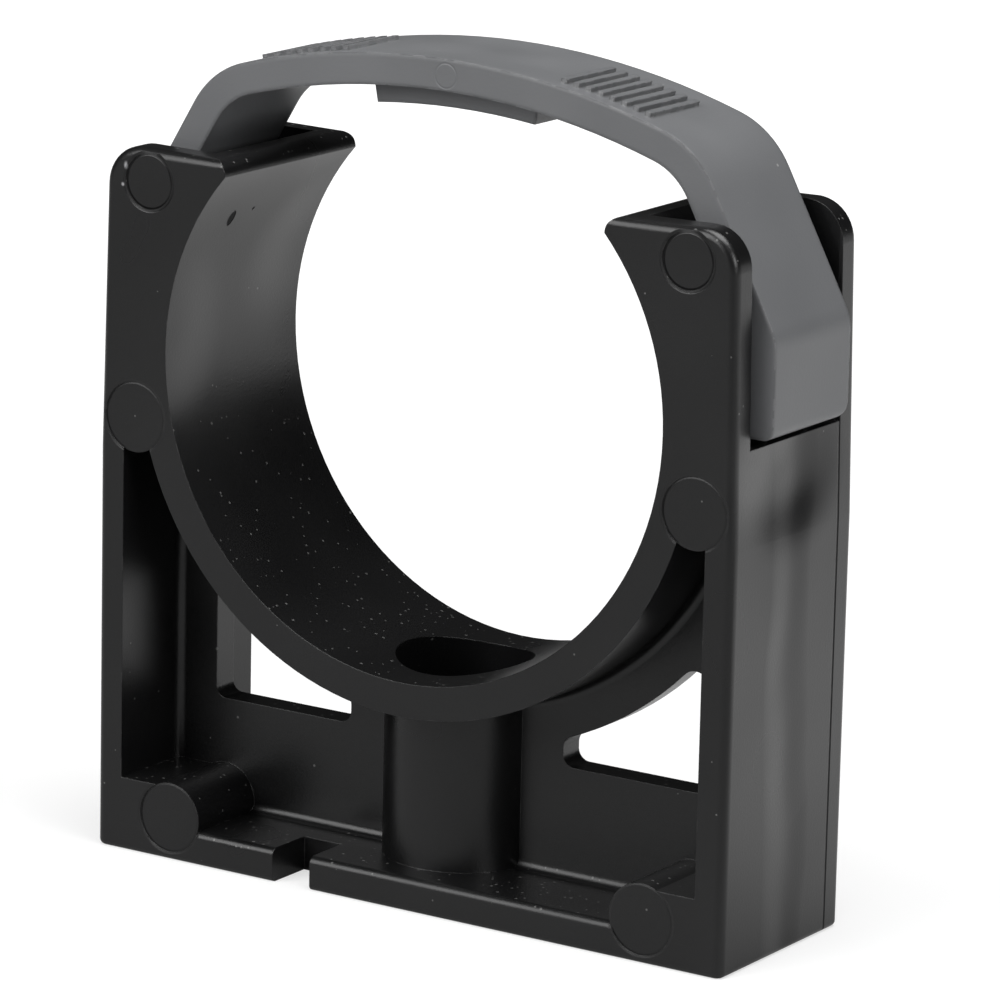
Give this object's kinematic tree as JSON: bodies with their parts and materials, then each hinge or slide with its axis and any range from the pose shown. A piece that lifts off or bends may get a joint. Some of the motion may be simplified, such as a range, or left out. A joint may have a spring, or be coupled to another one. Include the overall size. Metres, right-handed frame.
{
  "type": "pipe clip",
  "caption": "Moulded pipe clip: an open ring on a flat screw-down base, closed over the pipe by a clip-on strap with a pressure pad.",
  "frame": {"origin": "middle of the flat base, on the surface that the clip is screwed to", "axes": "+Z away from the base and through the pipe's axis, Y along the pipe with -Y towards the viewer of the picture, X across the clip"},
  "size_m": [0.0658, 0.0194, 0.0727],
  "materials": {
    "clip_body": "satin black moulded polypropylene",
    "retaining_strap": "satin mid-grey moulded plastic"
  },
  "bodies": {
    "clip": {"clip_body": "clip_body"},
    "strap": {"retaining_strap": "retaining_strap"}
  },
  "joints": [
    {"name": "strap_lift", "type": "slide", "parent": "clip", "child": "strap", "axis": [0, 0, 1], "range_m": [0, 0.03]}
  ]
}
